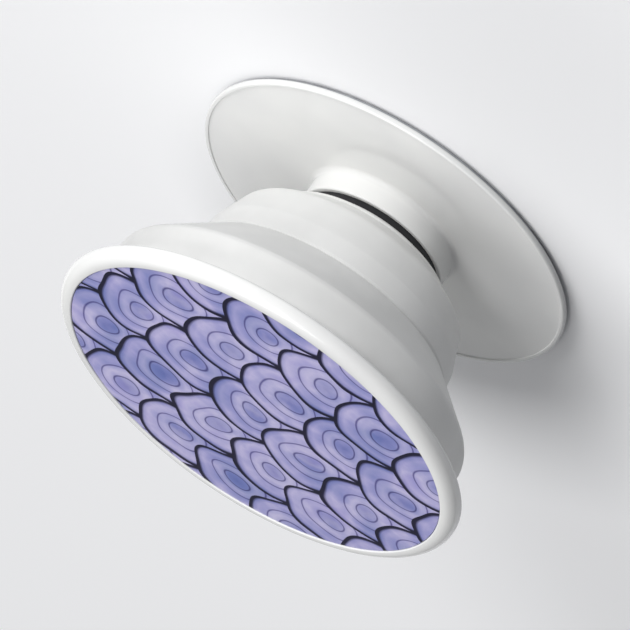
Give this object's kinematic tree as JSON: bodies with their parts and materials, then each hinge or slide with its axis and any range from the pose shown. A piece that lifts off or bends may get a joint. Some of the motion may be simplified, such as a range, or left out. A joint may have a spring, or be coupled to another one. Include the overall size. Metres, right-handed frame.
{
  "type": "collapsible phone grip",
  "caption": "Collapsible phone grip: round adhesive base, stepped white bellows that folds flat, and a round cap with a scallop-printed lavender face",
  "frame": {"origin": "centre of the adhesive face", "axes": "+Z out of the phone along the grip's axis; X and Y lie in the adhesive face and are free to choose on a round part"},
  "size_m": [0.0398, 0.0398, 0.0224],
  "materials": {
    "grey_gel": "satin",
    "white_gloss": "gloss",
    "black_acetal": "satin",
    "white_elastomer": "satin",
    "lavender_print": "gloss"
  },
  "bodies": {
    "base": {"adhesive_pad": "grey_gel", "base_plate": "white_gloss", "snap_bush": "black_acetal", "bellows": "white_elastomer"},
    "top": {"cap": "white_gloss", "print_disc": "lavender_print"}
  },
  "joints": [
    {"name": "collapse", "type": "slide", "parent": "base", "child": "top", "axis": [0, 0, 1], "range_m": [-0.0154, 0], "deforming": ["bellows"]}
  ]
}
